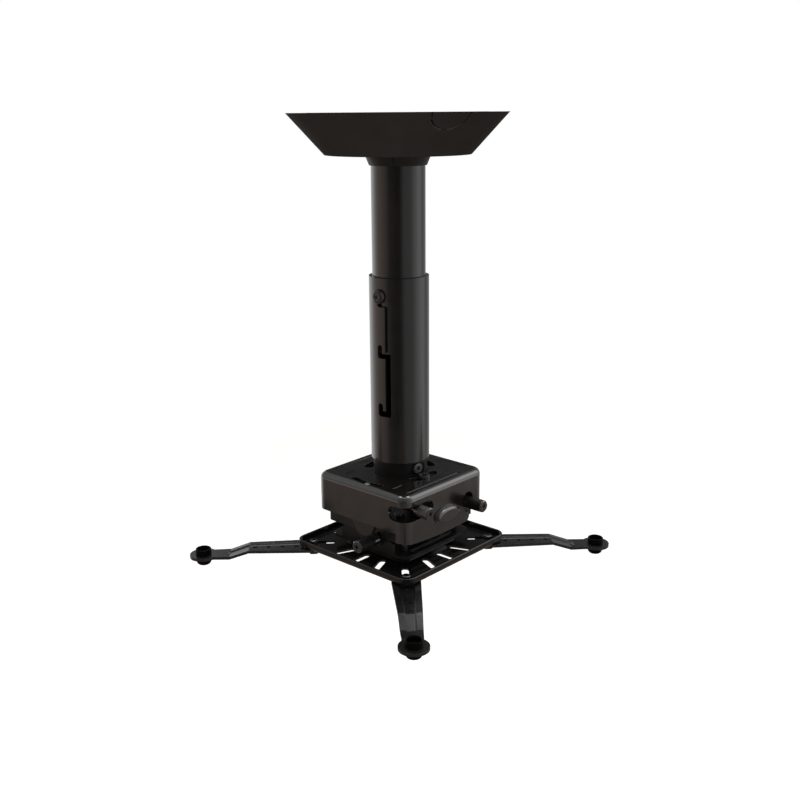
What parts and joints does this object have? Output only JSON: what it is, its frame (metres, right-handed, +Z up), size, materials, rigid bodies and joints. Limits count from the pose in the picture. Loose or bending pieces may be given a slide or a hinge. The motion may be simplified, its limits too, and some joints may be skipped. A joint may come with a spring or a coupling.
{
  "type": "projector ceiling mount",
  "caption": "Black projector ceiling mount: conical canopy, telescopic hooked column, yawing and tilting head, slotted spider plate with swinging arms and screw feet.",
  "frame": {"origin": "centre of the ceiling plate's upper face, on the column's axis", "axes": "+Z up along the column to the ceiling, +X to the side with the yaw and roll knobs, -Y to the front with the hooked slot"},
  "size_m": [0.2714, 0.2714, 0.384],
  "materials": {
    "black_tube": "smooth semi-gloss black paint on steel tube",
    "black_powder": "fine satin black powder coat on sheet steel",
    "black_moulding": "matt black moulded plastic",
    "badge_gloss": "smooth black cap",
    "black_screw": "blackened turned steel",
    "bright_zinc": "bright zinc plate",
    "foot_rubber": "hard black moulding"
  },
  "bodies": {
    "ceiling": {"ceiling_plate": "black_powder", "upper_tube": "black_tube", "height_screw": "black_screw", "height_nut": "bright_zinc"},
    "canopy": {"canopy": "black_moulding", "collar_half_left": "black_moulding", "collar_half_right": "black_moulding"},
    "column": {"lower_tube": "black_tube", "swivel_flange": "black_powder", "neck_screw": "black_screw", "swivel_screw": "black_screw", "yaw_stop": "bright_zinc"},
    "yaw_knob": {"yaw_knob": "black_screw"},
    "head": {"head_cover": "black_powder", "badge": "badge_gloss", "roll_pivots": "black_screw", "roll_spacers": "black_screw", "roll_nuts": "bright_zinc"},
    "gimbal": {"gimbal_bracket": "black_powder", "pitch_pivots": "black_powder", "pitch_nuts": "bright_zinc"},
    "roll_knob": {"roll_knob": "black_screw"},
    "yoke": {"yoke": "black_powder", "spider_plate": "black_powder", "plate_screws": "bright_zinc", "plate_nuts": "bright_zinc"},
    "pitch_knob": {"pitch_knob": "black_screw"},
    "slide_front": {"arm_screw_front": "bright_zinc", "arm_nut_front": "bright_zinc"},
    "arm_front": {"arm_front": "black_powder"},
    "foot_front": {"foot_front": "foot_rubber", "thumb_ring_front": "foot_rubber"},
    "slide_right": {"arm_screw_right": "bright_zinc", "arm_nut_right": "bright_zinc"},
    "arm_right": {"arm_right": "black_powder"},
    "foot_right": {"foot_right": "foot_rubber", "thumb_ring_right": "foot_rubber"},
    "slide_rear": {"arm_screw_rear": "bright_zinc", "arm_nut_rear": "bright_zinc"},
    "arm_rear": {"arm_rear": "black_powder"},
    "foot_rear": {"foot_rear": "foot_rubber", "thumb_ring_rear": "foot_rubber"},
    "slide_left": {"arm_screw_left": "bright_zinc", "arm_nut_left": "bright_zinc"},
    "arm_left": {"arm_left": "black_powder"},
    "foot_left": {"foot_left": "foot_rubber", "thumb_ring_left": "foot_rubber"}
  },
  "joints": [
    {"name": "canopy_slide", "type": "slide", "parent": "ceiling", "child": "canopy", "axis": [0, 0, 1], "range_m": [-0.078, 0]},
    {"name": "column_lift", "type": "slide", "parent": "ceiling", "child": "column", "axis": [0, 0, 1], "range_m": [0, 0.006]},
    {"name": "yaw_knob_turn", "type": "hinge", "parent": "column", "child": "yaw_knob", "pos_m": [0.05, -0.0347, -0.315], "axis": [1, 0, 0], "range_deg": [0, 360]},
    {"name": "head_yaw", "type": "hinge", "parent": "column", "child": "head", "pos_m": [0, 0, -0.3], "axis": [0, 0, 1], "range_deg": [-12, 12]},
    {"name": "head_roll", "type": "hinge", "parent": "head", "child": "gimbal", "pos_m": [0, 0, -0.328], "axis": [1, 0, 0], "range_deg": [-5, 5]},
    {"name": "roll_knob_turn", "type": "hinge", "parent": "gimbal", "child": "roll_knob", "pos_m": [0.05, 0.0293, -0.326], "axis": [1, 0, 0], "range_deg": [0, 360]},
    {"name": "head_pitch", "type": "hinge", "parent": "gimbal", "child": "yoke", "pos_m": [0, 0, -0.3345], "axis": [0, 1, 0], "range_deg": [-8, 8]},
    {"name": "pitch_knob_turn", "type": "hinge", "parent": "yoke", "child": "pitch_knob", "pos_m": [0.0155, -0.05, -0.3456], "axis": [0, 1, 0], "range_deg": [-360, 0]},
    {"name": "arm_slide_front", "type": "slide", "parent": "yoke", "child": "slide_front", "axis": [0.7071, -0.7071, 0], "range_m": [-0.016, 0.0044]},
    {"name": "arm_swing_front", "type": "hinge", "parent": "slide_front", "child": "arm_front", "pos_m": [0.0548, -0.0548, -0.37], "axis": [0, 0, 1], "range_deg": [-50, 50]},
    {"name": "foot_turn_front", "type": "hinge", "parent": "arm_front", "child": "foot_front", "pos_m": [0.12367, -0.12367, -0.375], "axis": [0, 0, 1], "continuous": true},
    {"name": "arm_slide_right", "type": "slide", "parent": "yoke", "child": "slide_right", "axis": [0.7071, 0.7071, 0], "range_m": [-0.016, 0.0044]},
    {"name": "arm_swing_right", "type": "hinge", "parent": "slide_right", "child": "arm_right", "pos_m": [0.0548, 0.0548, -0.37], "axis": [0, 0, 1], "range_deg": [-50, 50]},
    {"name": "foot_turn_right", "type": "hinge", "parent": "arm_right", "child": "foot_right", "pos_m": [0.12367, 0.12367, -0.375], "axis": [0, 0, 1], "continuous": true},
    {"name": "arm_slide_rear", "type": "slide", "parent": "yoke", "child": "slide_rear", "axis": [-0.7071, 0.7071, 0], "range_m": [-0.016, 0.0044]},
    {"name": "arm_swing_rear", "type": "hinge", "parent": "slide_rear", "child": "arm_rear", "pos_m": [-0.0548, 0.0548, -0.37], "axis": [0, 0, 1], "range_deg": [-50, 50]},
    {"name": "foot_turn_rear", "type": "hinge", "parent": "arm_rear", "child": "foot_rear", "pos_m": [-0.12367, 0.12367, -0.375], "axis": [0, 0, 1], "continuous": true},
    {"name": "arm_slide_left", "type": "slide", "parent": "yoke", "child": "slide_left", "axis": [-0.7071, -0.7071, 0], "range_m": [-0.016, 0.0044]},
    {"name": "arm_swing_left", "type": "hinge", "parent": "slide_left", "child": "arm_left", "pos_m": [-0.0548, -0.0548, -0.37], "axis": [0, 0, 1], "range_deg": [-50, 50]},
    {"name": "foot_turn_left", "type": "hinge", "parent": "arm_left", "child": "foot_left", "pos_m": [-0.12367, -0.12367, -0.375], "axis": [0, 0, 1], "continuous": true}
  ]
}
